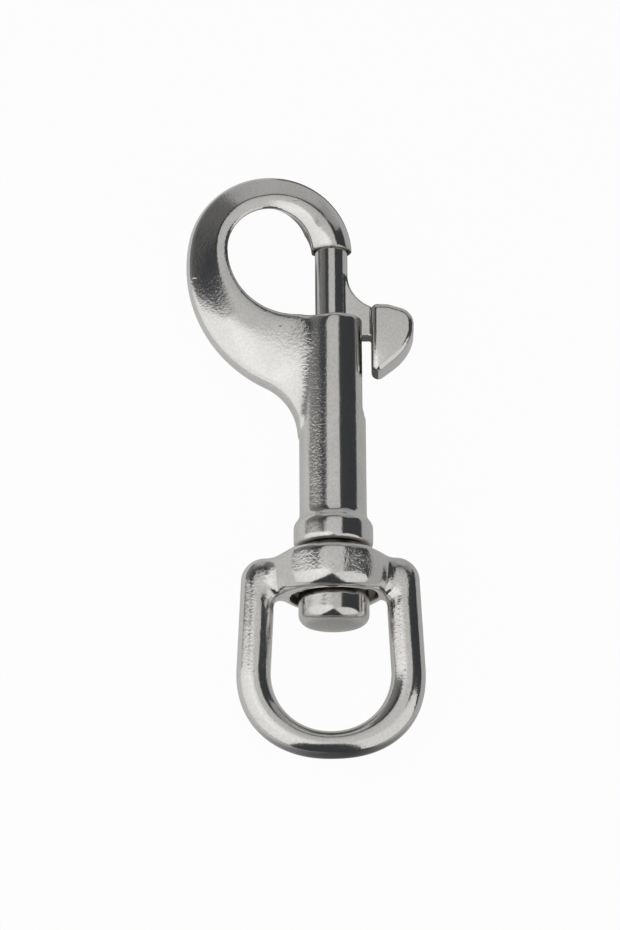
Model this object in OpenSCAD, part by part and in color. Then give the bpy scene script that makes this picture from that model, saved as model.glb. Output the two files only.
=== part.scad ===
/* [Swivel eye] */
// Inside width of the bail at its bend
eye_w = 17.4; // [14:0.1:22]
// Distance from the bend's centre to the inside of its bottom
bend_depth = 8.75; // [7:0.05:12]
// Distance from the bend's centre to the underside of the boss
eye_reach = 11; // [9:0.1:18]
// Width of the bail's arms, seen from the front
arm_w = 5; // [3.6:0.1:6]
// Width of the bail at the bottom of its bend
bend_w = 3.95; // [3:0.05:5.5]
// Thickness of the bail, front to back
bail_t = 4.7; // [3.6:0.1:6]
// Inward lean of each arm, in degrees
arm_lean = 3; // [0:0.1:5]
// Sideways set of the bail from the swivel axis
bail_set = -0.5; // [-1:0.1:1]
// Diameter of the boss that turns on the swivel pin
boss_d = 16.8; // [15.8:0.1:18]
// Height of the boss along the swivel axis
boss_h = 6.5; // [5:0.1:8]
// Depth of the counterbore
counterbore_depth = 1.7; // [1:0.1:2.5]

/* [Swivel pin] */
// Diameter of the pin's head
head_d = 10.3; // [8:0.1:10.8]
// Height of the head's side, without its dome
head_h = 5.3; // [3:0.1:6]
// Height of the dome on the head's end face
head_dome = 0.4; // [0.2:0.1:0.8]
// Length of shank that is fixed in the barrel
shank_grip = 8.6; // [5:0.1:9.5]

/* [Barrel] */
// Outer diameter of the barrel at its collar
barrel_d = 9.8; // [9:0.05:10.6]
// Outer diameter of the barrel at its open end
barrel_top_d = 9.7; // [8.8:0.05:10.6]
// Length from the collar's end face to the open end
barrel_len = 34.9; // [32:0.1:44]
// Diameter of the collar
collar_d = 11.6; // [11.2:0.05:13]
// Height of the collar's full diameter
collar_h = 2.4; // [2:0.1:4]

/* [Hook] */
// Radius of the hook's round opening
hook_r = 6.15; // [5:0.05:9]
// Height of the opening's centre above the barrel's open end
hook_rise = 10.65; // [9.5:0.05:16]
// Wall of the nose beside the bolt's end
nose_wall = 0.4; // [0.3:0.05:1]
// Width of the hook at the top of its bend
crown_w = 5.5; // [5.2:0.1:7]
// Width of the hook at its outer side
side_w = 6.15; // [5:0.05:8]
// Thickness of the hook at its ridge, front to back
hook_t = 5.8; // [5.4:0.1:7]
// Radius of the long outer curve below the hook's side
lobe_r = 21.2; // [20:0.2:26]
// Height of the web's top edge above the barrel's open end
throat_rise = 0.15; // [0.05:0.05:0.6]
// Radius where the web runs out into the barrel
root_r = 8; // [6:0.2:9]

/* [Bolt] */
// Diameter of the gate pin
bolt_d = 4.8; // [4:0.05:4.9]
// Length of the pin below the underside of its web
bolt_tail = 4.3; // [3:0.1:6]
// Depth of the web's underside below the barrel's open end
web_depth = 2.8; // [2.2:0.1:3.6]
// Height of the web at the knob
web_h = 4.3; // [3.5:0.1:5]
// Radius of the hollow curve between the web and the pin
web_r = 5.3; // [3:0.1:6]
// Stroke of the bolt
travel = 11.5; // [10:0.1:12]
// Thickness of the web
web_t = 2.8; // [2.2:0.05:3]
// Width of the thumb knob
knob_w = 6.25; // [5:0.05:8]
// Height of the thumb knob
knob_h = 10.35; // [9:0.05:13]
// Height of the part of the knob that hangs below the web
knob_drop = 5.65; // [4:0.05:6.5]
// Thickness of the thumb knob
knob_t = 6.2; // [4:0.1:8]

/* [Spring] */
// Wire diameter of the spring
wire_d = 0.5; // [0.4:0.05:0.6]
// Number of the spring's turns
spring_turns = 11; // [8:1:13]

/* [Fits] */
// Radial clearance of the bolt in its bore and in the nose socket
bolt_fit = 0.1; // [0.05:0.01:0.1]
// Radial clearance of the boss on the pin's shank
swivel_fit = 0.1; // [0.05:0.01:0.1]
// Radial clearance of the pin's shank where it is pressed into the barrel
press_gap = 0.01; // [0.01:0.01:0.02]
// Clearance of the bolt's web on each side in its slot
web_gap = 0.48; // [0.2:0.02:0.6]
// Gap between the barrel and the thumb knob
knob_gap = 0.9; // [0.8:0.05:2]
// Radial clearance of the pin's head in the boss's counterbore
counterbore_gap = 1.2; // [0.3:0.05:1.3]
// Axial gap between the collar and the boss
collar_gap = 1.1; // [0.3:0.1:1.5]
// Axial gap between the pin's head and its seat in the boss
head_gap = 0.3; // [0.3:0.05:0.6]
// Depth of the bolt's end in the nose socket
socket_grip = 1.2; // [0.8:0.1:2]
// Play between the bolt's parts and what they meet at the ends of the travel
end_gap = 0.3; // [0.3:0.05:0.6]

/* [Hidden] */
$fn = 64;
over = 1;

// Stations along the swivel axis, which is the Y axis, counted from the centre of the bail's bend
boss_y = eye_reach;
seat_y = boss_y + counterbore_depth;
boss_top_y = boss_y + boss_h;
collar_y = boss_top_y + collar_gap;
head_top_y = seat_y - head_gap;
head_y = head_top_y - head_h;
shank_top_y = collar_y + shank_grip;
barrel_top_y = collar_y + barrel_len;

// Radii of the turned surfaces
boss_r = boss_d / 2;
head_r = head_d / 2;
collar_r = collar_d / 2;
barrel_r = barrel_d / 2;
barrel_top_r = barrel_top_d / 2;
bolt_r = bolt_d / 2;
bore_r = bolt_r + bolt_fit;
shank_r = bore_r - press_gap;
counterbore_r = head_r + counterbore_gap;

// Height of the flare between the collar and the barrel, and its two equal hollow and round curves
flare_h = 2;
flare_turn = 2 * atan((collar_r - barrel_r) / flare_h);
flare_r = flare_h / 2 / sin(flare_turn);

// Radii of the rounded rims and corners
collar_rim = 1.3;
barrel_rim = 0.7;
boss_rim = 1;
boss_foot_rim = 2.2;
head_rim = 1.55;
shank_rim = 0.3;
bolt_rim = 0.4;
knob_bevel = 0.7;
knob_corner = 0.9;
knob_tip = 1;

// The hook's two round outlines
nose_w = 2 * (bore_r + nose_wall);
hook_c = [-hook_r - nose_w / 2, barrel_top_y + hook_rise];
crown_r = hook_r + (side_w + nose_w) / 2;
crown_set = 0.15;
crown_c = hook_c + [(nose_w - side_w) / 2 + crown_set, hook_r + crown_w - crown_r];
nose_rise = 0.05;
nose_y = hook_c.y + nose_rise;

// The outer curve runs on from the crown, and a hollow curve leads it into the barrel
lobe_start = 168;
lobe_c = crown_c - (lobe_r - crown_r) * [cos(lobe_start), sin(lobe_start)];
root_set = 0.25;
root_c_x = -barrel_top_r - root_set - root_r;
root_c = [root_c_x, lobe_c.y - sqrt(pow(lobe_r + root_r, 2) - pow(root_c_x - lobe_c.x, 2))];
root_angle = 360 + atan2(root_c.y - lobe_c.y, root_c.x - lobe_c.x);

// The inner curve widens below the round opening, down to the web's top edge
throat_y = barrel_top_y + throat_rise;
throat_r = hook_c.y - throat_y;
throat_c = [hook_c.x - hook_r + throat_r, hook_c.y];

// The bolt's stations, its slot and its knob's inner side
slot_w = web_t + 2 * web_gap;
knob_x = barrel_r + knob_gap;
bolt_top_y = nose_y + socket_grip;
web_y = barrel_top_y - web_depth;
bolt_y = web_y - bolt_tail;
knob_y = web_y - knob_drop;
slot_c_y = web_y - travel - end_gap + sqrt(pow(slot_w / 2, 2) - pow(web_t / 2, 2));

// The hook's cross-section: how far its ridge lies from the inner edge at the side and at the crown,
// how much the band between them turns down, how tight its inner corner is, how far the inner wall
// slants away from it to the back and how round the back is, and how thick and how wide the outer
// rim is. The web's own values come second, and the nose is rounder than the rest.
side_ridge = 1.65;
crown_ridge = 2.2;
web_ridge = 1.9;
band_turn = 15;
band_corner = 0.5;
wall_slant = 24;
back_corner = 1.5;
rim_share = 0.62;
web_rim_share = 0.55;
rim_w = 1;
web_rim_w = 1.6;
web_sink = 0.6;
web_end_x = 1;
web_end_sink = 0.3;
nose_extra = 0.35;
nose_steps = 9;
nose_ridge_share = 0.48;
nose_rim_share = 0.98;

// The round posts that the thumb knob's outline is drawn round, below its two corners: the radius
// and the centre of each as shares of the knob's width, the width and the height
knob_brow = [0.24, 0.35, 0.852];
knob_shoulder = [0.416, 0.584, 0.696];
knob_belly = [0.36, 0.4, 0.4];

// Steps of the lofted and swept shapes
loop_steps = 22;
web_steps = 18;
root_steps = 12;
edge_steps = 5;
shoulder_line_steps = 3;
shoulder_steps = 7;
shoulder_rings = shoulder_line_steps + shoulder_steps;
bend_steps = 12;
arm_steps = 5;
bail_sides = 20;
coil_steps = 14;
wire_sides = 6;

// The hook's inner and outer outlines, point for point from the nose to the barrel
hook_inner = concat(
    arc(hook_c, hook_r, asin((nose_y - hook_c.y) / hook_r), 180, loop_steps),
    tail(arc(throat_c, throat_r, 180, 270, web_steps)),
    tail(line([throat_c.x, throat_y], [web_end_x, barrel_top_y - web_end_sink], root_steps))
);
hook_outer = concat(
    arc(crown_c, crown_r, asin((nose_y - crown_c.y) / crown_r), lobe_start, loop_steps),
    tail(arc(lobe_c, lobe_r, lobe_start, root_angle, web_steps)),
    tail(arc(root_c, root_r, root_angle - 180, 0, root_steps))
);

// The bail's shoulders, which start inside the boss, and its corners
shoulder_x = boss_r - 3;
shoulder_drop = 0.4;
shoulder_sink = 0.3;
shoulder_taper = 0.95;
boss_edge = 0.2;
corner_r = 3.4;
inner_corner_r = 0.6;
corner_y = boss_top_y - shoulder_drop - corner_r;
outer_corner = [arm_outer(corner_y) - corner_r, corner_y];
inner_corner = [arm_inner(boss_y) - inner_corner_r, boss_y - inner_corner_r];

// How square the bail's bend is inside and out, and its cross-section at the shoulder and the arm
inner_squareness = 2.05;
left_squareness = 2.2;
right_squareness = 2.32;
shoulder_squareness = 2.8;
arm_squareness = 2.1;

// Half of the bail's inner and outer outlines as [half width, station], from the boss to the bottom
bail_inner = concat(
    line([shoulder_x, boss_y], [inner_corner.x, boss_y], shoulder_line_steps),
    tail(arc(inner_corner, inner_corner_r, 90, 0, shoulder_steps)),
    tail(line([arm_inner(inner_corner.y), inner_corner.y], [eye_w / 2, 0], arm_steps)),
    tail(bend(eye_w / 2, bend_depth, inner_squareness, bend_steps))
);
bail_left = bail_outer(left_squareness);
bail_right = bail_outer(right_squareness);

// Points along an arc
function arc(centre, radius, from, to, steps) =
    [for (i = [0 : steps]) let (a = from + (to - from) * i / steps) centre + radius * [cos(a), sin(a)]];

// A list without its first point, for joining two runs that share a point
function tail(list) = [for (i = [1 : len(list) - 1]) list[i]];

// Points along a straight line
function line(from, to, steps) = [for (i = [0 : steps]) from + (to - from) * i / steps];

// The value that lies t of the way from a to b
function blend(a, b, t) = a + (b - a) * t;

// A number's power with the sign of the number kept
function signed_pow(x, n) = sign(x) * pow(abs(x), n);

// A solid through rings that all have the same number of points
module loft(rings) {
    sides = len(rings[0]);
    last = (len(rings) - 1) * sides;
    walls = [
        for (i = [0 : len(rings) - 2], j = [0 : sides - 1])
            let (k = (j + 1) % sides, a = i * sides, b = a + sides)
                each [[a + j, b + j, b + k], [a + j, b + k, a + k]]
    ];
    first_cap = [for (j = [0 : sides - 1]) j];
    last_cap = [for (j = [sides - 1 : -1 : 0]) last + j];
    polyhedron([for (ring = rings) each ring], concat(walls, [first_cap, last_cap]), convexity = 8);
}

// A solid turned about the swivel axis from a half profile of [radius, station] points
module turned(profile) {
    rotate([-90, 0, 0]) rotate_extrude() polygon(profile);
}

// A straight rod or round hole along the swivel axis
module rod(radius, from_y, to_y) {
    translate([0, from_y, 0]) rotate([-90, 0, 0]) cylinder(r = radius, h = to_y - from_y);
}

// The inner side of the hook's cross-section, from its ridge on the back to its ridge on the front.
// In front a band levels off towards the ridge above a tight corner, and the wall slants away from
// the corner to a rounded back. Where `even` is 1, the back is like the front. Where `round` is 1,
// the whole side is half an ellipse.
function inner_side(ridge, high, even, round) =
    let (
        band_r = band_corner + (ridge - band_corner) / sin(band_turn),
        corner_z = high - band_r + (band_r - band_corner) * cos(band_turn),
        wall_top = [band_corner * (1 - cos(wall_slant)), corner_z - band_corner * sin(wall_slant)],
        wall_end_z = back_corner * (1 - sin(wall_slant)) - high,
        back_x = wall_top.x + (wall_top.y - wall_end_z) * tan(wall_slant) + back_corner * cos(wall_slant),
        band = tail(arc([ridge, high - band_r], band_r, 90 + band_turn, 90, 3)),
        slanted = concat(
            arc([back_x, back_corner - high], back_corner, 270, 180 + wall_slant, 3),
            arc([band_corner, corner_z], band_corner, 180 + wall_slant, 90 + band_turn, 3)
        ),
        upright = concat(
            [[ridge, -high]],
            arc([band_corner, -corner_z], band_corner, 270 - band_turn, 180, 2),
            arc([band_corner, corner_z], band_corner, 180, 90 + band_turn, 3)
        ),
        side = concat([for (i = [0 : len(slanted) - 1]) blend(slanted[i], upright[i], even)], band),
        last = len(side) - 1
    )
    [for (i = [0 : last])
        let (a = 180 * i / last - 90)
            blend(side[i], [ridge * (1 - cos(a)), high * sin(a)], round)];

// One cross-section of the hook, from its inner to its outer edge. The ridge lies `ridge` from the
// inner edge and has the half thickness `high`. The outer rim is `rim` thick and `rim_depth` wide.
function hook_section(inner, outer, ridge, high, rim, rim_depth, even, round) =
    let (
        width = norm(outer - inner),
        out = (outer - inner) / width,
        rim_line = [for (i = [0 : edge_steps])
            let (a = 90 * i / edge_steps) [width - rim_depth * (1 - sin(a)), rim * cos(a)]],
        back = [for (i = [edge_steps - 1 : -1 : 0]) [rim_line[i][0], -rim_line[i][1]]]
    )
    [for (p = concat(inner_side(ridge, high, even, round), rim_line, back))
        [inner.x + out.x * p[0], inner.y + out.y * p[0], p[1]]];

// The nose is nearly round, the crown has a ridge, and the web thickens towards the barrel
module hook_arm() {
    last = len(hook_inner) - 1;
    loft([
        for (i = [0 : last])
            let (
                width = norm(hook_outer[i] - hook_inner[i]),
                nose = max(0, 1 - i / nose_steps),
                web = max(0, i - loop_steps) / (last - loop_steps),
                high = blend(hook_t / 2, barrel_top_r - web_sink, web) + nose_extra * nose,
                flank = blend(crown_ridge, side_ridge, min(1, i / loop_steps)),
                ridge = blend(blend(flank, web_ridge, web), width * nose_ridge_share, nose),
                rim = high * blend(blend(rim_share, web_rim_share, web), 1, nose),
                rim_depth = blend(blend(rim_w, web_rim_w, web), width - ridge, nose * nose_rim_share)
            )
                hook_section(
                    hook_inner[i],
                    hook_outer[i],
                    ridge,
                    high,
                    rim,
                    rim_depth,
                    min(1, 2 * web),
                    nose
                )
    ]);
}

// Collar, flare and barrel, turned in one
module barrel() {
    flare_y = collar_y + collar_h;
    turned(concat(
        [[0, collar_y]],
        arc([collar_r - collar_rim, collar_y + collar_rim], collar_rim, -90, 0, 6),
        arc([collar_r - flare_r, flare_y], flare_r, 0, flare_turn, 5),
        tail(arc([barrel_r + flare_r, flare_y + flare_h], flare_r, 180 + flare_turn, 180, 5)),
        arc([barrel_top_r - barrel_rim, barrel_top_y - barrel_rim], barrel_rim, 0, 90, 5),
        [[0, barrel_top_y]]
    ));
}

// The slot for the bolt's web: open at the barrel's end, round at the other
module slot() {
    translate([0, slot_c_y, 0]) rotate([0, 90, 0]) cylinder(d = slot_w, h = barrel_r + over);
    translate([0, slot_c_y, -slot_w / 2])
        cube([barrel_r + over, barrel_top_y - slot_c_y + over, slot_w]);
}

module hook_body() {
    color("silver")
        difference() {
            union() {
                barrel();
                hook_arm();
            }
            rod(bore_r, collar_y - over, barrel_top_y + over);
            rod(bore_r, nose_y - over, bolt_top_y + end_gap);
            slot();
        }
}

// The plan of the thumb knob: a straight side towards the barrel, a round shoulder and a full belly
module knob_plan() {
    translate([knob_x, knob_y])
        hull() {
            translate([knob_tip, knob_tip]) circle(knob_tip);
            translate([knob_corner, knob_h - knob_corner]) circle(knob_corner);
            for (post = [knob_brow, knob_shoulder, knob_belly])
                translate([post[1] * knob_w, post[2] * knob_h]) circle(post[0] * knob_w);
        }
}

module knob() {
    hull() {
        linear_extrude(knob_t - 2 * knob_bevel, center = true) knob_plan();
        linear_extrude(knob_t, center = true) offset(delta = -knob_bevel) knob_plan();
    }
}

// The flat web, which runs from the pin's axis into the knob, with a hollow curve up to the pin
module web() {
    web_end = knob_x + 1;
    hollow_c = [bolt_r + web_r, web_y + web_h + web_r];
    linear_extrude(web_t, center = true)
        polygon(concat(
            [[0, web_y], [web_end, web_y]],
            arc(hollow_c, web_r, 270 - asin((hollow_c.x - web_end) / web_r), 180, 10),
            [[0, hollow_c.y]]
        ));
}

module bolt() {
    color("silver") {
        turned([
            [0, bolt_y],
            [bolt_r - bolt_rim, bolt_y],
            [bolt_r, bolt_y + bolt_rim],
            [bolt_r, bolt_top_y - bolt_rim],
            [bolt_r - bolt_rim, bolt_top_y],
            [0, bolt_top_y]
        ]);
        web();
        knob();
    }
}

// Height of the wire's centre after a number of turns: closed end turns, even pitch between
function coil_rise(turn, height) =
    let (closed = wire_d * 1.1)
    turn < 1 ? turn * closed
    : turn > spring_turns - 1 ? height - (spring_turns - turn) * closed
    : closed + (turn - 1) * (height - 2 * closed) / (spring_turns - 2);

module spring() {
    wall_gap = 0.3;
    seat_gap = 0.05;
    coil_r = bore_r - wall_gap - wire_d / 2;
    low_y = shank_top_y + wire_d / 2 + seat_gap;
    height = bolt_y - wire_d / 2 - seat_gap - low_y;
    color("gray")
        loft([
            for (i = [0 : spring_turns * coil_steps])
                let (turn = i / coil_steps, a = 360 * turn, y = low_y + coil_rise(turn, height))
                    [for (j = [0 : wire_sides - 1])
                        let (b = 360 * j / wire_sides, r = coil_r + wire_d / 2 * cos(b))
                            [r * cos(a), y + wire_d / 2 * sin(b), r * sin(a)]]
        ]);
}

// The headed pin, turned in one, with a slight dome on its end face
module swivel_pin() {
    dome_edge_r = head_r - head_rim;
    dome_r = (pow(dome_edge_r, 2) + pow(head_dome, 2)) / 2 / head_dome;
    dome_half = asin(dome_edge_r / dome_r);
    color("lightgray")
        turned(concat(
            arc([0, head_y - head_dome + dome_r], dome_r, -90, dome_half - 90, 4),
            arc([dome_edge_r, head_y + head_rim], head_rim, -90, 0, 5),
            [
                [head_r, head_top_y],
                [shank_r, head_top_y],
                [shank_r, shank_top_y - shank_rim],
                [shank_r - shank_rim, shank_top_y],
                [0, shank_top_y]
            ]
        ));
}

// Half widths of the bail at a station on its straight, leaning arms
function arm_inner(y) = eye_w / 2 - y * tan(arm_lean);
function arm_outer(y) = arm_inner(y) + arm_w;

// One quarter of the bend, from an arm down to its bottom; a squareness of 2 is an ellipse
function bend(half_w, depth, squareness, steps) = [
    for (i = [0 : steps])
        let (a = 90 * i / steps)
            [half_w * signed_pow(cos(a), 2 / squareness), -depth * signed_pow(sin(a), 2 / squareness)]
];

// The bail's outer outline for a given squareness of its bend
function bail_outer(squareness) = concat(
    line([shoulder_x, boss_top_y - boss_edge], outer_corner + [0, corner_r], shoulder_line_steps),
    tail(arc(outer_corner, corner_r, 90, 0, shoulder_steps)),
    tail(line([arm_outer(corner_y), corner_y], [eye_w / 2 + arm_w, 0], arm_steps)),
    tail(bend(eye_w / 2 + arm_w, bend_depth + bend_w, squareness, bend_steps))
);

// One cross-section of the bail, round at a squareness of 2 and fuller above that
function bail_section(inner, outer, half_t, squareness) = [
    for (j = [0 : bail_sides - 1])
        let (
            a = 360 * (j + 0.5) / bail_sides,
            u = (1 - signed_pow(cos(a), 2 / squareness)) / 2,
            p = blend(inner, outer, u)
        )
            [p.x, p.y, half_t * signed_pow(sin(a), 2 / squareness)]
];

// Half thickness of the shoulder beside the boss, which tapers down to that of the arm
function shoulder_half_t(x) =
    let (boss_half_t = sqrt(boss_r * boss_r - shoulder_x * shoulder_x) - shoulder_sink)
    max(bail_t / 2, boss_half_t - shoulder_taper * (x - shoulder_x));

// The bail in one run: down its left arm, round the bend and up its right arm
module bail() {
    last = len(bail_inner) - 1;
    loft([
        for (i = [0 : 2 * last])
            let (
                side = i < last ? -1 : 1,
                k = i < last ? i : 2 * last - i,
                outer = i < last ? bail_left[k] : bail_right[k]
            )
                bail_section(
                    [bail_set + side * bail_inner[k].x, bail_inner[k].y],
                    [bail_set + side * outer.x, outer.y],
                    k < shoulder_rings ? shoulder_half_t(outer.x) : bail_t / 2,
                    blend(arm_squareness, shoulder_squareness, max(0, 1 - k / shoulder_rings))
                )
    ]);
}

module swivel_eye() {
    color("silver")
        difference() {
            union() {
                translate([bail_set / 2, 0, 0]) turned(concat(
                    [[0, boss_y]],
                    arc([boss_r - boss_foot_rim, boss_y + boss_foot_rim], boss_foot_rim, -90, 0, 6),
                    arc([boss_r - boss_rim, boss_top_y - boss_rim], boss_rim, 0, 90, 6),
                    [[0, boss_top_y]]
                ));
                bail();
            }
            rod(shank_r + swivel_fit, boss_y - over, boss_top_y + over);
            rod(counterbore_r, boss_y - over, seat_y);
        }
}

hook_body();
bolt();
spring();
swivel_pin();
swivel_eye();
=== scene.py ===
from math import asin, atan2, copysign, cos, degrees, hypot, pi, radians, sin, sqrt, tan

import bmesh
import bpy
from mathutils import Matrix, Vector


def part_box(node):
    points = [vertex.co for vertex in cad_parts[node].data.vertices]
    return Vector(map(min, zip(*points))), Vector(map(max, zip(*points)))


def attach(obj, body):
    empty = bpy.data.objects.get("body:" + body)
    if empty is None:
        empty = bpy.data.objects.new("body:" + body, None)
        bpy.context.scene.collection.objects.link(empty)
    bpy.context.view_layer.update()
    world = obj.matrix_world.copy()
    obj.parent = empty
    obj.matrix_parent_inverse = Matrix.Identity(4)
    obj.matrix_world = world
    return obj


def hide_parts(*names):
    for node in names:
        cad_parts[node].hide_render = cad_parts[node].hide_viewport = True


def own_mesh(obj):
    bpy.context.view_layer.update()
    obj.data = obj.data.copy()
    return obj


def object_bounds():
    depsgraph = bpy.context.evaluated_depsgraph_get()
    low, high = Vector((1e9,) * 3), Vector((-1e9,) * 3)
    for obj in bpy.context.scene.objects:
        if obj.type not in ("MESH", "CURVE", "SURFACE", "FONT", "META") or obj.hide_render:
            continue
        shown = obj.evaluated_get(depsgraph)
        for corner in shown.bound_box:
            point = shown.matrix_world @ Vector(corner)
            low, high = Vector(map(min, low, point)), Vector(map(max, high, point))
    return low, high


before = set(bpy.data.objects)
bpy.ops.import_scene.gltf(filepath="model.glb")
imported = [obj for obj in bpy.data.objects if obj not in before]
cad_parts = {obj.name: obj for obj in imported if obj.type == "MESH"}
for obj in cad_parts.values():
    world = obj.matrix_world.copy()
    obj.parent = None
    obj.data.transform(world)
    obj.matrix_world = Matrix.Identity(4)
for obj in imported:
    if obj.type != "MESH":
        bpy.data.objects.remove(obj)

cad_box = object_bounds()
scene = bpy.context.scene

# Camera: square to the hook's flat, tipped 17 degrees towards the eye, with a hair of roll.
# It stands 0.8 m off behind a long lens, so the barrel and the eye show without distortion.
look_at = Vector((-0.00333, 0.0314, 0.0))
stand_off, tip, roll = 0.8, radians(17), radians(-0.4)
camera = bpy.data.objects.new("camera", bpy.data.cameras.new("camera"))
scene.collection.objects.link(camera)
scene.camera = camera
camera.data.sensor_width = 36
camera.data.lens = 212.1
camera.data.clip_start = 0.01
camera.data.clip_end = 20
camera.location = look_at + stand_off * Vector((0, -sin(tip), cos(tip)))
camera.rotation_euler = (Matrix.Rotation(tip, 3, "X") @ Matrix.Rotation(roll, 3, "Z")).to_euler()
scene.view_settings.view_transform = "Standard"

# Studio: a white floor and a white surround for the camera, while the metal mirrors a grey floor,
# painted lighter on the left and with painted shadow in front of, under and inside the hook, and a dark
# surround.
# Glowing cards stand left, right, overhead and at the back.
class Socket:
    """A shader value, so that materials can be written as sums and products."""

    def __init__(self, tree, link):
        self.tree = tree
        self.link = link

    def node(self, kind, settings=None, **inputs):
        """Adds a node. Inputs are named, with _ for a space, or numbered as i0, i1 and so on."""
        made = self.tree.nodes.new(kind)
        for name, value in (settings or {}).items():
            setattr(made, name, value)
        for name, value in inputs.items():
            key = int(name[1:]) if name[0] == "i" and name[1:].isdigit() else name.replace("_", " ")
            if isinstance(value, Socket):
                self.tree.links.new(value.link, made.inputs[key])
            else:
                made.inputs[key].default_value = value
        return made

    def out(self, kind, which=0, settings=None, **inputs):
        return Socket(self.tree, self.node(kind, settings, **inputs).outputs[which])

    def maths(self, operation, *values):
        inputs = {f"i{n}": value for n, value in enumerate(values)}
        return self.out("ShaderNodeMath", 0, {"operation": operation}, **inputs)

    def vector(self, operation, *values, which=0):
        inputs = {f"i{n}": value for n, value in enumerate(values)}
        return self.out("ShaderNodeVectorMath", which, {"operation": operation}, **inputs)

    def step(self, start, stop):
        """Goes smoothly from 0 to 1 as the value goes from start to stop, which may be the lower."""
        up = stop > start
        run = {"From_Min": min(start, stop), "From_Max": max(start, stop)}
        ends = {"To_Min": 0.0 if up else 1.0, "To_Max": 1.0 if up else 0.0}
        smooth = {"interpolation_type": "SMOOTHSTEP"}
        return self.out("ShaderNodeMapRange", 0, smooth, Value=self, **run, **ends)

    def colours(self, first, second):
        """Goes from the first colour to the second as the value goes from 0 to 1."""
        return self.out("ShaderNodeMix", 2, {"data_type": "RGBA"}, i0=self, i6=first, i7=second)

    def __add__(self, other):
        return self.maths("ADD", self, other)

    def __sub__(self, other):
        return self.maths("SUBTRACT", self, other)

    def __rsub__(self, other):
        return self.maths("SUBTRACT", other, self)

    def __mul__(self, other):
        return self.maths("MULTIPLY", self, other)

    __radd__ = __add__
    __rmul__ = __mul__


def start_material(name):
    material = bpy.data.materials.new(name)
    material.use_nodes = True
    material.node_tree.nodes.clear()
    return material, Socket(material.node_tree, None)


low, high = cad_box
floor_mesh = bmesh.new()
bmesh.ops.create_grid(floor_mesh, x_segments=1, y_segments=1, size=4)
bmesh.ops.translate(floor_mesh, verts=floor_mesh.verts, vec=(0, 0, low.z))
floor_data = bpy.data.meshes.new("floor")
floor_mesh.to_mesh(floor_data)
floor_mesh.free()
floor = bpy.data.objects.new("floor", floor_data)
scene.collection.objects.link(floor)

paper, make = start_material("floor_paper")
seen = make.out("ShaderNodeLightPath", "Is Camera Ray")
mirrored = make.out("ShaderNodeLightPath", "Is Glossy Ray")
shade = make.out("ShaderNodeBsdfDiffuse", Color=(0.95, 0.95, 0.95, 1))
white = make.out("ShaderNodeEmission", Color=(1, 1, 1, 1), Strength=1.0)
place = make.out("ShaderNodeTexCoord", "Object")
x, y = [make.out("ShaderNodeSeparateXYZ", axis, Vector=place) for axis in ("X", "Y")]
aside = x.maths("ABSOLUTE", x)
# Painted light in what the metal mirrors: the floor is lighter on the left, with painted shadow in front of
# the object, under the barrel and inside the hook's loop.
shadow_in_front = (aside + y * 0.45).step(0.03, -0.01) * y.step(-0.005, -0.018)
shadow_beneath = aside.step(0.0072, 0.0062) * y.step(0.02, 0.025)
from_loop = place.vector("DISTANCE", place, (-0.0125, 0.0615, low.z), which="Value")
shadow_in_loop = from_loop.step(0.0068, 0.0045)
grey = 0.47 + x.step(0.01, -0.04) * 0.2 - shadow_in_front * 0.46 - shadow_beneath * 0.4 - shadow_in_loop * 0.45
mirrored_grey = make.out("ShaderNodeEmission", Color=grey, Strength=1.0)
lifted = make.out("ShaderNodeMixShader", i0=seen * 0.96, i1=shade, i2=white)
both = make.out("ShaderNodeMixShader", i0=mirrored * 0.9, i1=lifted, i2=mirrored_grey)
make.node("ShaderNodeOutputMaterial", Surface=both)
floor_data.materials.append(paper)

world = bpy.data.worlds.new("studio")
scene.world = world
world.use_nodes = True
world.node_tree.nodes.clear()
make = Socket(world.node_tree, None)
seen = make.out("ShaderNodeLightPath", "Is Camera Ray")
dark = make.out("ShaderNodeBackground", Color=(0.05, 0.053, 0.058, 1), Strength=1.0)
white = make.out("ShaderNodeBackground", Color=(1, 1, 1, 1), Strength=1.0)
make.node("ShaderNodeOutputWorld", Surface=make.out("ShaderNodeMixShader", i0=seen, i1=dark, i2=white))


def card(name, near, far, corners):
    """A glowing white card between four corners. Its glow goes from near, along its first side, to
    far, along the opposite one."""
    bm = bmesh.new()
    bmesh.ops.create_grid(bm, x_segments=1, y_segments=12, size=0.5)
    glow = bm.verts.layers.float.new("glow")
    a, b, c, d = [Vector(corner) for corner in corners]
    for vert in bm.verts:
        u, v = vert.co.x + 0.5, vert.co.y + 0.5
        vert.co = a.lerp(b, u).lerp(d.lerp(c, u), v)
        vert[glow] = near + (far - near) * v
    data = bpy.data.meshes.new(name)
    bm.to_mesh(data)
    bm.free()
    made = bpy.data.objects.new(name, data)
    scene.collection.objects.link(made)
    made.visible_camera = False
    material, make = start_material(name)
    light = make.out("ShaderNodeAttribute", "Fac", {"attribute_name": "glow"})
    make.node("ShaderNodeOutputMaterial", Surface=make.out("ShaderNodeEmission", Color=light, Strength=1.0))
    data.materials.append(material)


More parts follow.
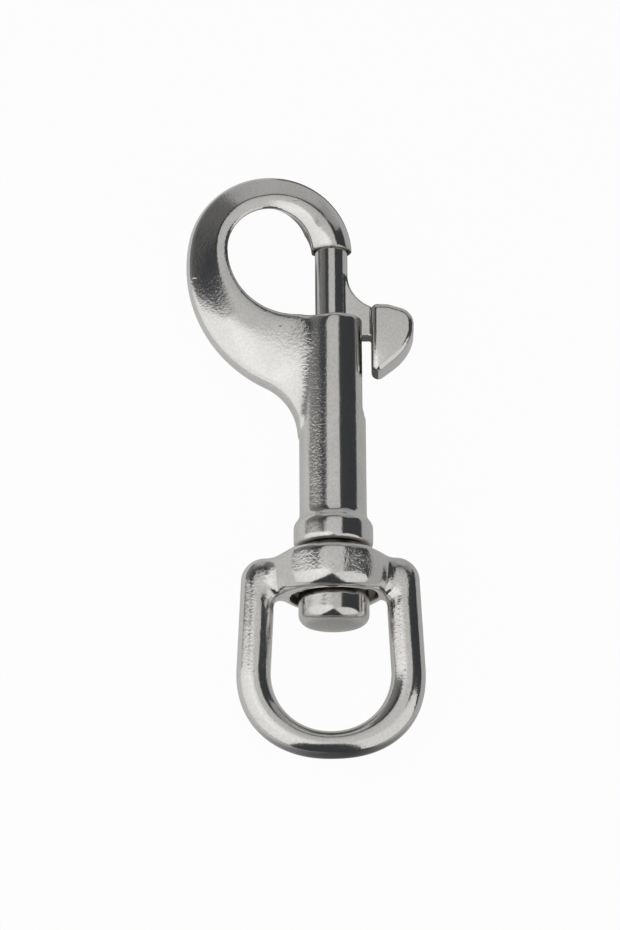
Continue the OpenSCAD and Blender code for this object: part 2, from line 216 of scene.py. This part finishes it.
# Cards stand to the left and right of the camera with a dark gap between them, a dimmer pair hangs
# overhead, and dim walls stand behind. Corners run round each card from its first side.
card("overhead_near", 0.70, 0.64, [
    (-0.15, -0.05, 0.30), (0.135, -0.05, 0.30), (0.135, 0.12, 0.30), (-0.15, 0.12, 0.30)])
card("overhead_far", 0.64, 0.50, [
    (-0.107, 0.12, 0.30), (0.135, 0.12, 0.30), (0.14, 0.31, 0.30), (-0.075, 0.31, 0.30)])
card("back_wall", 0.48, 0.48, [
    (-0.27, 0.60, -0.01), (0.27, 0.60, -0.01), (0.27, 0.60, 0.30), (-0.27, 0.60, 0.30)])
card("back_fade", 0.48, 0.20, [
    (-0.27, 0.60, 0.30), (0.27, 0.60, 0.30), (0.27, 0.60, 0.47), (-0.27, 0.60, 0.47)])
card("left_back", 0.26, 0.11, [
    (-0.60, 0.14, 0.0), (-0.27, 0.60, 0.0), (-0.24, 0.60, 0.52), (-0.42, 0.14, 0.42)])
card("right_back", 0.42, 0.30, [
    (0.27, 0.60, 0.0), (0.46, 0.42, 0.0), (0.38, 0.34, 0.33), (0.20, 0.45, 0.42)])
card("left_side", 1.08, 0.9, [
    (-0.12, -0.06, 0.25), (-0.125, 0.084, 0.25), (-0.43, 0.125, 0.0), (-0.45, -0.18, 0.0)])
card("left_front", 1.05, 0.95, [
    (-0.005, -0.048, 0.28), (-0.12, -0.06, 0.25), (-0.46, -0.19, 0.0), (-0.214, -0.393, 0.03)])
card("left_top", 0.95, 1.2, [
    (-0.005, -0.048, 0.28), (-0.018, 0.075, 0.28), (-0.125, 0.085, 0.25), (-0.12, -0.06, 0.25)])
card("right_front", 0.85, 0.9, [
    (0.005, -0.048, 0.32), (0.137, -0.428, 0.019), (0.60, -0.19, 0.0), (0.45, 0.0, 0.17)])
card("right_top", 0.72, 0.9, [
    (0.005, -0.048, 0.32), (0.03, 0.0, 0.32), (0.30, 0.04, 0.30), (0.45, 0.0, 0.17)])

# Hook body: one stainless casting, ground and tumbled bright. Hook, web, barrel and flared collar
# run into each other; the bore, the side slot and the socket in the nose are cut afterwards.
def loft(bm, sections):
    """A closed skin through rings of points: the first ring is a circle, drawn out from ring to ring."""
    slot = bm.verts.layers.int.new("slot")
    ring = bmesh.ops.create_circle(bm, segments=len(sections[0]), radius=1)["verts"]
    for n, vert in enumerate(ring):
        vert[slot] = n
        vert.co = sections[0][n]
    edges = bm.edges[:]
    ends = [edges]
    for section in sections[1:]:
        made = bmesh.ops.extrude_edge_only(bm, edges=edges)["geom"]
        new = {part for part in made if isinstance(part, bmesh.types.BMVert)}
        edges = [part for part in made if isinstance(part, bmesh.types.BMEdge) and set(part.verts) <= new]
        for vert in new:
            vert.co = section[vert[slot]]
    ends.append(edges)
    for end in ends:
        bmesh.ops.contextual_create(bm, geom=end)
    bmesh.ops.recalc_face_normals(bm, faces=bm.faces)
    bm.verts.layers.int.remove(slot)


def turned(bm, profile, steps=128):
    """A profile of (radius, station) points, spun round the swivel axis."""
    verts = [bm.verts.new((radius, station, 0)) for radius, station in profile]
    edges = [bm.edges.new(pair) for pair in zip(verts, verts[1:])]
    about = {"cent": (0, 0, 0), "axis": (0, 1, 0), "angle": 2 * pi}
    bmesh.ops.spin(bm, geom=verts + edges, steps=steps, use_merge=True, **about)
    bmesh.ops.remove_doubles(bm, verts=bm.verts, dist=1e-4)
    bmesh.ops.recalc_face_normals(bm, faces=bm.faces)


def rod(bm, radius, start, stop):
    turned(bm, [(0, start), (radius, start), (radius, stop), (0, stop)])


def mix(a, b, t):
    return a + (b - a) * t


def arc(centre, radius, start, stop, steps):
    turns = [radians(mix(start, stop, n / steps)) for n in range(steps + 1)]
    return [(centre[0] + radius * cos(turn), centre[1] + radius * sin(turn)) for turn in turns]


def line(start, stop, steps):
    return [(mix(start[0], stop[0], n / steps), mix(start[1], stop[1], n / steps)) for n in range(steps + 1)]


def power(value, exponent):
    return copysign(abs(value) ** exponent, value)


def placed(name, data):
    made = bpy.data.objects.new(name, data)
    scene.collection.objects.link(made)
    return made


def blank(name, fill, *values):
    """An object in millimetres, filled by one of the makers above."""
    bm = bmesh.new()
    fill(bm, *values)
    data = bpy.data.meshes.new(name)
    bm.to_mesh(data)
    bm.free()
    return placed(name, data)


def settled(made):
    """The object's mesh with its modifiers done."""
    return bpy.data.meshes.new_from_object(made.evaluated_get(bpy.context.evaluated_depsgraph_get()))


def cast(name, blanks, cuts, grain, relax, blends=()):
    """Joins the blanks, takes the cuts away, and skins the result with small even faces whose
    edges are then softened, as tumbling does. Each of the blends, (centre, half size, passes), is
    smoothed further, as where one part of a casting runs into another. The result is in metres."""
    whole = blanks[0]
    for other, operation in [(b, "UNION") for b in blanks[1:]] + [(c, "DIFFERENCE") for c in cuts]:
        join = whole.modifiers.new("join", "BOOLEAN")
        join.operation = operation
        join.solver = "EXACT"
        join.object = other
    skin = whole.modifiers.new("skin", "REMESH")
    skin.mode = "VOXEL"
    skin.voxel_size = grain
    skin.use_smooth_shade = True
    soft = whole.modifiers.new("soft", "SMOOTH")
    soft.factor = 0.5
    soft.iterations = relax
    rough = placed(name + "_rough", settled(whole))
    for n, (centre, half, passes) in enumerate(blends):
        group = rough.vertex_groups.new(name=f"blend_{n}")
        for vert in rough.data.vertices:
            far = sqrt(sum(((a - b) / c) ** 2 for a, b, c in zip(vert.co, centre, half)))
            if far < 1:
                group.add([vert.index], min(1, 3 * (1 - far)), "REPLACE")
        soft = rough.modifiers.new("blend", "SMOOTH")
        soft.factor = 0.5
        soft.iterations = passes
        soft.vertex_group = group.name
    data = settled(rough)
    data.name = name
    data.transform(Matrix.Scale(0.001, 4))
    for used in [rough] + blanks + cuts:
        bpy.data.objects.remove(used)
    return placed(name, data)


def inner_side(ridge, high, even, fall):
    """The inner side of the hook's cross-section, from the ridge on its back to the one in front: a
    slanting wall, a tight corner and a band that falls away by so many degrees from the ridge to the
    corner. Even gives the back the front's shape."""
    corner, slant, back = 0.3, 24, 1.5
    lean, tilt = radians(slant), radians(fall)
    band_r = corner + (ridge - corner) / sin(tilt)
    corner_z = high - band_r + (band_r - corner) * cos(tilt)
    wall_end = back * (1 - sin(lean)) - high
    wall_top = (corner * (1 - cos(lean)), corner_z - corner * sin(lean))
    back_x = wall_top[0] + (wall_top[1] - wall_end) * tan(lean) + back * cos(lean)
    slanted = arc((back_x, back - high), back, 270, 180 + slant, 8)
    slanted += line(slanted[-1], wall_top, 6)[1:-1]
    slanted += arc((corner, corner_z), corner, 180 + slant, 90 + fall, 8)
    upright = arc((ridge, band_r - high), band_r, 270, 270 - fall, 3)[:-1]
    upright += arc((corner, -corner_z), corner, 270 - fall, 180, 5)
    upright += line((0, -corner_z), (0, corner_z), 6)[1:-1]
    upright += arc((corner, corner_z), corner, 180, 90 + fall, 8)
    band = arc((ridge, high - band_r), band_r, 90 + fall, 90, 8)[1:]
    return [(mix(a[0], b[0], even), mix(a[1], b[1], even)) for a, b in zip(slanted, upright)] + band


def outer_side(start, width, rim, rim_depth, oval, swell):
    """The outer side, from a ridge to the edge: a slope that may swell out a little and a rounded
    rim, or a quarter of an oval."""
    turns = [mix(0.2, pi / 2, n / 10) for n in range(11)]
    rim_line = [(width - rim_depth * (1 - sin(turn)), rim * cos(turn)) for turn in turns]
    straight = line(start, rim_line[0], 12)
    slope = [(x, z + swell * n / 3 * (1 - n / 12)) for n, (x, z) in enumerate(straight)]
    plain = slope[1:-1] + rim_line
    turns = [pi / 2 * (n + 1) / len(plain) for n in range(len(plain))]
    even = [(mix(start[0], width, sin(turn)), start[1] * cos(turn)) for turn in turns]
    return [(mix(a[0], b[0], oval), mix(a[1], b[1], oval)) for a, b in zip(plain, even)]


def hook_section(inner, outer, ridge, high, rim, rim_depth, even, fall, oval, swell):
    """One cross-section: its inner side, then its outer side in front and at the back."""
    inner, outer = Vector(inner), Vector(outer)
    width = (outer - inner).length
    out = (outer - inner) / width
    side = inner_side(ridge, high, even, fall)
    front = outer_side(side[-1], width, rim, rim_depth, oval, swell)
    back = outer_side((side[0][0], -side[0][1]), width, rim, rim_depth, oval, swell)[:-1]
    ring = side + front + [(across, -up) for across, up in reversed(back)]
    return [(inner.x + out.x * across, inner.y + out.y * across, up) for across, up in ring]


low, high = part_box("hook_body")
collar_r, collar_y = high.x * 1000, low.y * 1000
crown_y = high.y * 1000
barrel_r, barrel_top_r, barrel_len = 4.9, 4.85, 34.9
hook_r, crown_w, side_w, nose_w, nose_rise = 6.15, 5.5, 6.15, 5.8, 0.05
lobe_r, root_r, crown_set, root_set, throat_rise = 20.7, 8.6, 0.15, 0.25, 0.15
barrel_top_y = collar_y + barrel_len
hook_c = (-hook_r - nose_w / 2, crown_y - crown_w - hook_r)
nose_y = hook_c[1] + nose_rise
crown_r = hook_r + (side_w + nose_w) / 2
crown_c = (hook_c[0] + (nose_w - side_w) / 2 + crown_set, crown_y - crown_r)
lobe_turn = 168
lobe_set = lobe_r - crown_r
lobe_c = (crown_c[0] - lobe_set * cos(radians(lobe_turn)), crown_c[1] - lobe_set * sin(radians(lobe_turn)))
root_x = -barrel_top_r - root_set - root_r
root_c = (root_x, lobe_c[1] - sqrt((lobe_r + root_r) ** 2 - (root_x - lobe_c[0]) ** 2))
root_turn = 360 + degrees(atan2(root_c[1] - lobe_c[1], root_c[0] - lobe_c[0]))
throat_y = barrel_top_y + throat_rise
throat_r = hook_c[1] - throat_y
throat_c = (hook_c[0] - hook_r + throat_r, hook_c[1])
loop, web, root = 88, 54, 40
inner_line = arc(hook_c, hook_r, degrees(asin((nose_y - hook_c[1]) / hook_r)), 180, loop)
inner_line += arc(throat_c, throat_r, 180, 270, web)[1:]
inner_line += line((throat_c[0], throat_y), (1, barrel_top_y - 0.3), root)[1:]
outer_line = arc(crown_c, crown_r, degrees(asin((nose_y - crown_c[1]) / crown_r)), lobe_turn, loop)
outer_line += arc(lobe_c, lobe_r, lobe_turn, root_turn, web)[1:]
outer_line += arc(root_c, root_r, root_turn - 180, 0, root)[1:]

hook_t, web_sink, nose_lift, tip_drop, web_swell = 5.8, 0.35, 0.45, 0.5, 0.28
crown_ridge, loop_ridge, web_ridge = 2.2, 1.65, 1.9
nose_run, tip_run = 48, 14
sections = []
for n, (inner, outer) in enumerate(zip(inner_line, outer_line)):
    width = hypot(outer[0] - inner[0], outer[1] - inner[1])
    nose = max(0, 1 - n / nose_run)
    into_web = max(0, n - loop) / (web + root)
    up = mix(hook_t / 2, barrel_top_r - web_sink, into_web**1.7)
    up += nose_lift * nose - tip_drop * max(0, 1 - n / tip_run) ** 2
    ridge = mix(mix(crown_ridge, loop_ridge, min(1, n / loop)), web_ridge, into_web)
    sections.append(hook_section(
        inner,
        outer,
        ridge=mix(ridge, width * 0.55, nose),
        high=up,
        rim=up * mix(0.62, 0.55, into_web),
        rim_depth=mix(1, 1.5, into_web),
        even=min(1, 2 * into_web + 1.5 * nose),
        fall=mix(15, 50, nose),
        oval=nose,
        swell=web_swell * min(1, into_web * 3),
    ))

bore_r, collar_h, flare_h, collar_rim = 2.5, 2.9, 2.2, 0.8
flare_turn = 2 * degrees(atan2(collar_r - barrel_r, flare_h))
flare_r = flare_h / 2 / sin(radians(flare_turn))
flare_y = collar_y + collar_h
barrel_line = [(0, collar_y)]
barrel_line += arc((collar_r - collar_rim, collar_y + collar_rim), collar_rim, -90, 0, 12)
barrel_line += arc((collar_r - flare_r, flare_y), flare_r, 0, flare_turn, 8)
barrel_line += arc((barrel_r + flare_r, flare_y + flare_h), flare_r, 180 + flare_turn, 180, 8)[1:]
barrel_line += arc((barrel_top_r - 0.7, barrel_top_y - 0.7), 0.7, 0, 90, 10)
barrel_line += [(0, barrel_top_y)]


def slot_cutter(bm, width, deep, stop):
    """A round-ended slot that leaves the barrel on the knob's side."""
    round_end = {"radius1": width / 2, "radius2": width / 2, "depth": 10}
    made = bmesh.ops.create_cone(bm, cap_ends=True, segments=48, **round_end)
    bmesh.ops.rotate(bm, verts=made["verts"], matrix=Matrix.Rotation(pi / 2, 3, "Y"))
    bmesh.ops.translate(bm, verts=made["verts"], vec=(5, deep, 0))
    upper = [vert for vert in made["verts"] if vert.co.y > deep + 0.01]
    bmesh.ops.translate(bm, verts=upper, vec=(0, stop - deep, 0))


web_t, web_gap, slot_spare = 2.8, 0.48, 0.3
web_y, travel = barrel_top_y - 2.8, 11.5
slot_w = web_t + 2 * web_gap
slot_y = web_y - travel - slot_spare + sqrt((slot_w / 2) ** 2 - (web_t / 2) ** 2)
hook_blends = []
for side in (-1, 1):
    hook_blends.append(((-2.6, 46.5, side * 4.3), (2.4, 7.5, 2.2), 24))
    hook_blends.append(((-2.6, 51.5, side * 4.3), (3.2, 4.5, 2.2), 70))
for side in (-1, 1):
    hook_blends.append(((-4.3, 39, side * 2.4), (1.5, 6, 2.6), 40))
hook = cast(
    "hook_casting",
    [blank("tube", turned, barrel_line), blank("arm", loft, sections)],
    [
        blank("bore", rod, bore_r, collar_y - 1, barrel_top_y + 1),
        blank("socket", rod, bore_r, nose_y - 1, nose_y + 1.5),
        blank("slot", slot_cutter, slot_w, slot_y, barrel_top_y + 2),
    ],
    grain=0.2,
    relax=4,
    blends=hook_blends,
)
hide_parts("hook_body")
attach(hook, "hook")


def near(place, centre, half):
    """1 at a centre, falling to 0 at the half size round it. Both are in millimetres."""
    gap = place.vector("SUBTRACT", place, tuple(c / 1000 for c in centre))
    shares = place.vector("MULTIPLY", gap, tuple(1000 / h for h in half))
    return place.vector("LENGTH", shares, which="Value").step(1.0, 0.25)


def steel(name, colour, polish, pebbled=(), grime_and_shade_mask=None, marks=()):
    """Tumbled stainless: a skin of fine pebbles, stronger in the pebbled places, scattered pits with painted
    shade, hairline scratches, and painted shade tinted like grime where the mask asks for it. Marks are small
    pits or nicks."""
    material, make = start_material(name)
    place = make.out("ShaderNodeTexCoord", "Object")
    pebbles = make.out("ShaderNodeTexNoise", 0, Vector=place, Scale=2600.0, Detail=2.0, Roughness=0.6)
    swell = make.out("ShaderNodeTexNoise", 0, Vector=place, Scale=230.0, Detail=2.0, Roughness=0.5)
    amount = 0.13 + swell.step(0.3, 0.7) * 0.06
    for centre, half, share in pebbled:
        amount = amount + near(place, centre, half) * share
    cells = make.out("ShaderNodeTexVoronoi", "Distance", Vector=place, Scale=620.0, Randomness=1.0)
    pits = cells.step(0.16, 0.04) * swell.step(0.54, 0.64) * amount
    combed = place.vector("MULTIPLY", place, (5200.0, 260.0, 5200.0))
    hairs = make.out("ShaderNodeTexNoise", 0, Vector=combed, Scale=1.0, Detail=1.0).step(0.68, 0.76)
    height = pebbles * amount * 0.75 + swell * 0.35 - pits * 0.5 - hairs * 0.02
    for centre, half, depth in marks:
        height = height - near(place, centre, half) * depth
    dents = make.out("ShaderNodeBump", Strength=1.0, Distance=0.00006, Height=height)
    roughness = polish + amount * 0.03 + hairs * 0.05 + pits * 0.2
    # Painted shade: the pits and the masked places take a dark brown tone.
    shadow = pits * 0.7
    if grime_and_shade_mask:
        grime_and_shade = grime_and_shade_mask(place)
        roughness = roughness + grime_and_shade * 0.25
        shadow = shadow + grime_and_shade
    mottle = swell.step(0.35, 0.65) * 0.4 + pebbles.step(0.4, 0.6) * 0.6
    clean = mottle.colours((*[share * 0.9 for share in colour], 1), (*colour, 1))
    tone = shadow.maths("MINIMUM", shadow, 1.0).colours(clean, (0.17, 0.15, 0.125, 1))
    skin = {"Base_Color": tone, "Metallic": 1.0, "Roughness": roughness, "Normal": dents}
    make.node("ShaderNodeOutputMaterial", Surface=make.out("ShaderNodeBsdfPrincipled", **skin))
    return material


def round_axis(place):
    """How far a point lies from the swivel axis, and how far along it."""
    x, y, z = [place.out("ShaderNodeSeparateXYZ", axis, Vector=place) for axis in ("X", "Y", "Z")]
    squares = x * x + z * z
    return squares.maths("SQRT", squares), y


def bore_shade_and_grime(place):
    """Painted shade tinted like grime inside the bore, round the nose's socket and on the collar's lower end.
    """
    off, along = round_axis(place)
    return off.step(0.0034, 0.0026) * along.step(0.0648, 0.0640) * 0.8 + along.step(0.0194, 0.0186) * 0.5


def dress(made, material):
    made.data.materials.clear()
    made.data.materials.append(material)


web_skin = [
    ((-6, 50, 3.2), (8, 7, 4), 0.6),
    ((-2.6, 38, 3.8), (2.6, 20, 3), 0.75),
    ((-17.5, 65, 2), (7, 17, 4), 0.35),
]
nicks = [
    ((-20.9, 59.2, 1.2), (0.5, 0.22, 1.2), 0.9),
    ((-20.1, 59.6, 1.6), (0.5, 0.2, 0.8), 0.5),
    ((-5.2, 71.4, 2.9), (0.6, 0.12, 0.6), 0.5),
]
dress(hook, steel("hook_steel", (0.745, 0.733, 0.71), 0.13, web_skin, bore_shade_and_grime, nicks))

# Gate bolt: one small casting. The pin runs in the barrel and into the nose, and a flat web
# through the slot carries the thumb knob, which is bevelled all round.
low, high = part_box("bolt")
bolt_r, bolt_y, bolt_top_y = -low.x * 1000, web_y - 4.3, high.y * 1000
knob_t, knob_y = 2 * high.z * 1000, low.y * 1000
knob_x, knob_h, web_h, web_r = 5.8, 10.35, 4.3, 5.3


def slab(bm, outline, thickness):
    """A flat plate with the given outline, half its thickness on either side of the swivel plane."""
    ring = bmesh.ops.create_circle(bm, cap_ends=True, segments=len(outline), radius=1)["verts"]
    for vert, (x, y) in zip(ring, outline):
        vert.co = (x, y, -thickness / 2)
    grown = bmesh.ops.extrude_face_region(bm, geom=bm.faces[:])["geom"]
    top = [part for part in grown if isinstance(part, bmesh.types.BMVert)]
    bmesh.ops.translate(bm, verts=top, vec=(0, 0, thickness))
    bmesh.ops.recalc_face_normals(bm, faces=bm.faces)


def pillow(bm, rounds, thickness, bevel):
    """A plate drawn tight round some round posts, (x, y, radius), with its two rims bevelled."""
    for x, y, radius in rounds:
        sizes = {"radius1": radius, "radius2": radius, "depth": thickness}
        post = bmesh.ops.create_cone(bm, cap_ends=True, segments=48, **sizes)
        bmesh.ops.translate(bm, verts=post["verts"], vec=(x, y, 0))
    hull = bmesh.ops.convex_hull(bm, input=bm.verts, use_existing_faces=False)
    unused = hull["geom_interior"] + hull["geom_unused"]
    inside = {part for part in unused if isinstance(part, bmesh.types.BMVert)}
    bmesh.ops.delete(bm, geom=list(inside), context="VERTS")
    flats = [face for face in bm.faces if abs(face.normal.z) > 0.9]
    corners = {
        edge for face in flats for edge in face.edges
        if any(abs(beside.normal.z) < 0.5 for beside in edge.link_faces)
    }
    loose = [face for face in bm.faces if not face.normal.length]
    bmesh.ops.delete(bm, geom=loose, context="FACES_ONLY")
    free = [edge for edge in bm.edges if edge not in corners]
    bmesh.ops.dissolve_limit(bm, angle_limit=radians(0.5), verts=bm.verts, edges=free)
    rims = [edge for edge in bm.edges if len({round(vert.co.z, 3) for vert in edge.verts}) == 1]
    rounded = {"offset_type": "OFFSET", "affect": "EDGES", "segments": 5, "profile": 0.5, "material": -1}
    bmesh.ops.bevel(bm, geom=rims, offset=bevel, **rounded)
    bmesh.ops.recalc_face_normals(bm, faces=bm.faces)


pin_line = [(0, bolt_y), (bolt_r - 0.4, bolt_y), (bolt_r, bolt_y + 0.4), (bolt_r, bolt_top_y - 0.4)]
pin_line += [(bolt_r - 0.4, bolt_top_y), (0, bolt_top_y)]
web_end = knob_x + 1
hollow = (bolt_r + web_r, web_y + web_h + web_r)
web_plan = [(0, web_y), (web_end, web_y)]
web_plan += arc(hollow, web_r, 270 - degrees(asin((hollow[0] - web_end) / web_r)), 180, 24) + [(0, hollow[1])]
knob_posts = [(knob_x + 1, knob_y + 1, 1), (knob_x + 0.9, knob_y + knob_h - 0.9, 0.9)]
knob_posts += [(knob_x + 2.2, knob_y + 8.8, 1.5), (knob_x + 3.65, knob_y + 7.2, 2.6)]
knob_posts += [(x, y, 1.5) for x, y in arc((knob_x - 1.4, knob_y + 7.8), 6.32, -15, -52, 5)]
knob_bevel = 0.8
bolt = cast(
    "bolt_casting",
    [
        blank("pin", turned, pin_line, 96),
        blank("web", slab, web_plan, web_t),
        blank("knob", pillow, knob_posts, knob_t, knob_bevel),
    ],
    [],
    grain=0.13,
    relax=4,
    blends=[((2.2, 57, side * 1.6), (1.3, 6.5, 1.2), 10) for side in (-1, 1)],
)
# The knob's faces are slightly domed about their middle.
dome_x, dome_y = knob_x + 2.9, knob_y + 6.4
for vert in bolt.data.vertices:
    if vert.co.x > (knob_x - 0.1) / 1000:
        across, along = vert.co.x * 1000 - dome_x, vert.co.y * 1000 - dome_y
        vert.co.z *= 1 - 0.0045 * along**2 - 0.004 * across**2
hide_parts("bolt")
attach(bolt, "bolt")
dress(bolt, steel("bolt_steel", (0.75, 0.738, 0.715), 0.13, [((9, 50, 3), (5, 7, 3), 0.3)]))

# Spring: round wire wound in eleven turns, closed at both ends. It pushes the bolt home and is
# seen only through the slot.
wire_r, turns, coil_gap = 0.25, 11, 0.3
coil_r = bore_r - coil_gap - wire_r
low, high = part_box("spring")
spring_y, spring_top_y = low.y * 1000 + wire_r, high.y * 1000 - wire_r


def rise(turn):
    """How high the wire stands after so many turns: its end turns lie close, the others evenly."""
    closed = 1.1 * 2 * wire_r
    height = spring_top_y - spring_y
    if turn < 1:
        return turn * closed
    if turn > turns - 1:
        return height - (turns - turn) * closed
    return mix(closed, height - closed, (turn - 1) / (turns - 2))


wire = []
ring_steps = 40
for n in range(turns * ring_steps + 1):
    turn = 2 * pi * n / ring_steps
    ring = arc((coil_r, spring_y + rise(n / ring_steps)), wire_r, 0, 330, 11)
    wire.append([(radius * cos(turn), station, radius * sin(turn)) for radius, station in ring])
spring = blank("spring_wire", loft, wire)
spring.data.transform(Matrix.Scale(0.001, 4))
for face in spring.data.polygons:
    face.use_smooth = True
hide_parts("spring")
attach(spring, "hook")
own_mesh(spring)
dress(spring, steel("drawn_wire", (0.60, 0.59, 0.57), 0.22))

# Swivel pin: turned from bar and bright on its side, with a duller, slightly domed end face. Its
# shank is fixed in the barrel, and the eye turns on it.
low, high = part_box("swivel_pin")
dome_h = 0.4
head_r, head_y, shank_top_y = high.x * 1000, low.y * 1000 + dome_h, high.y * 1000
head_top_y, shank_r, head_rim = head_y + 5.3, 2.49, 1.55
dome_edge = head_r - head_rim
dome_r = (dome_edge**2 + dome_h**2) / (2 * dome_h)
dome_half = degrees(asin(dome_edge / dome_r))
pin_line = arc((0, head_y - dome_h + dome_r), dome_r, -90, dome_half - 90, 12)
pin_line += arc((dome_edge, head_y + head_rim), head_rim, -90, 0, 16)
pin_line += arc((head_r - 0.25, head_top_y - 0.25), 0.25, 0, 90, 4)
pin_line += [(shank_r, head_top_y), (shank_r, shank_top_y - 0.3)]
pin_line += [(shank_r - 0.3, shank_top_y), (0, shank_top_y)]
pin = cast("swivel_pin_turned", [blank("head", turned, pin_line)], [], grain=0.13, relax=3)
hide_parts("swivel_pin")
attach(pin, "hook")


def dull_end_and_shade(place):
    """A darker, duller tone on the head's domed end, and painted shade tinted like grime round its upper edge
    and along the shank.
    """
    along = place.out("ShaderNodeSeparateXYZ", "Y", Vector=place)
    return along.step(0.0073, 0.0070) * 0.4 + along.step(0.0120, 0.0128) * 0.7


dress(pin, steel("pin_steel", (0.685, 0.672, 0.65), 0.13, [((0, 6.5, 0), (5.2, 1.0, 5.2), 0.5)], dull_end_and_shade))

# Swivel eye: a heavy boss and a D-shaped bail, cast in one. The bail starts wide beside the boss,
# turns down into two leaning arms and closes in a bend that is fuller on its right.
low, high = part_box("swivel_eye")
eye_w, bend_depth, arm_w, bend_w, bail_t, bail_set = 17.4, 8.75, 5.0, 3.95, 4.7, -0.5
boss_r, boss_y, boss_top_y = high.z * 1000, 11.0, high.y * 1000
shoulder_x, corner_r = boss_r - 3, 3.4


def arm_inner(y):
    return eye_w / 2 - y * tan(radians(3))


def bend(half_w, depth, squareness, steps=36):
    """A quarter of a squared oval, from the arm's end to the middle of the bend."""
    turns = [pi / 2 * n / steps for n in range(steps + 1)]
    pull = 2 / squareness
    return [(half_w * power(cos(turn), pull), -depth * power(sin(turn), pull)) for turn in turns]


def bail_outer(squareness):
    """The bail's outer edge on one side, from the boss to the middle of the bend."""
    corner_y = boss_top_y - 0.4 - corner_r
    corner = (arm_inner(corner_y) + arm_w - corner_r, corner_y)
    run = line((shoulder_x, boss_top_y - 0.2), (corner[0], corner[1] + corner_r), 9)
    run += arc(corner, corner_r, 90, 0, 21)[1:]
    run += line((corner[0] + corner_r, corner[1]), (eye_w / 2 + arm_w, 0), 15)[1:]
    return run + bend(eye_w / 2 + arm_w, bend_depth + bend_w, squareness)[1:]


fillet = 0.6
corner = (arm_inner(boss_y) - fillet, boss_y - fillet)
bail_inner = line((shoulder_x, boss_y), (corner[0], boss_y), 9) + arc(corner, fillet, 90, 0, 21)[1:]
bail_inner += line((arm_inner(corner[1]), corner[1]), (eye_w / 2, 0), 15)[1:]
bail_inner += bend(eye_w / 2, bend_depth, 2.05)[1:]
shoulder_rings = 30
boss_half_t = sqrt(boss_r**2 - shoulder_x**2) - 0.3
bail = []
for side, outer_run in ((-1, bail_outer(2.2)), (1, bail_outer(2.32))):
    run = []
    for n, (inner, outer) in enumerate(zip(bail_inner, outer_run)):
        pull = 2 / mix(2.1, 2.8, max(0, 1 - n / shoulder_rings))
        half_t = bail_t / 2
        if n < shoulder_rings:
            half_t = max(half_t, boss_half_t - 0.95 * (outer[0] - shoulder_x))
        section = []
        for turn in [2 * pi * (k + 0.5) / 40 for k in range(40)]:
            share = (1 - power(cos(turn), pull)) / 2
            across, station = mix(inner[0], outer[0], share), mix(inner[1], outer[1], share)
            section.append((bail_set + side * across, station, half_t * power(sin(turn), pull)))
        run.append(section)
    bail += run if side < 0 else run[-2::-1]
boss_line = [(0, boss_y)] + arc((boss_r - 2.2, boss_y + 2.2), 2.2, -90, 0, 14)
boss_line += arc((boss_r - 1, boss_top_y - 1), 1, 0, 90, 10) + [(0, boss_top_y)]
boss = blank("boss", turned, boss_line)
boss.data.transform(Matrix.Translation((bail_set / 2, 0, 0)))

eye_blends = []
for side in (-1, 1):
    for up in (4.0, -4.0):
        eye_blends.append(((bail_set + side * 8.2, 14.2, up), (4.0, 5.5, 4.2), 160))
    eye_blends.append(((bail_set + side * 8.4, 10.9, 0), (2.2, 2.0, 4.5), 60))
hole_r, counterbore_r, counterbore_h = shank_r + 0.1, head_r + 1.2, 1.7
eye = cast(
    "swivel_eye_casting",
    [boss, blank("bail", loft, bail)],
    [
        blank("hole", rod, hole_r, boss_y - 1, boss_top_y + 1),
        blank("counterbore", rod, counterbore_r, boss_y - 1, boss_y + counterbore_h),
    ],
    grain=0.2,
    relax=4,
    blends=eye_blends,
)
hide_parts("swivel_eye")
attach(eye, "eye")


def counterbore_shade_and_grime(place):
    """Painted shade tinted like grime in the counterbore and on the boss's upper face."""
    off, along = round_axis(place)
    deep = along.step(0.0108, 0.0112) * along.step(0.0130, 0.0126)
    return off.step(0.0066, 0.0063) * (deep + along.step(0.0172, 0.0176) * 0.6)


eye_skin = [
    ((-4.6, 14.6, 7), (4, 4, 3.5), 0.5),
    ((3.5, 14.8, 7.5), (3, 3.2, 2.6), 2.8),
    ((0, 14, 7.5), (3, 4, 3), 0.3),
]
eye_skin += [((bail_set + side * 9.5, 13, 3), (4.5, 6, 4), 0.8) for side in (-1, 1)]
eye_skin += [((bail_set + side * 10.8, 3, 1.8), (3.4, 11, 3), 0.2) for side in (-1, 1)]
eye_skin += [((bail_set + side * 8.9, 4, 1.4), (1.6, 9, 2.2), 0.8) for side in (-1, 1)]
boss_pit = [((-6.3, 13.3, 6.6), (0.35, 0.28, 1.2), 0.8)]
dress(eye, steel("eye_steel", (0.735, 0.723, 0.70), 0.12, eye_skin, counterbore_shade_and_grime, boss_pit))
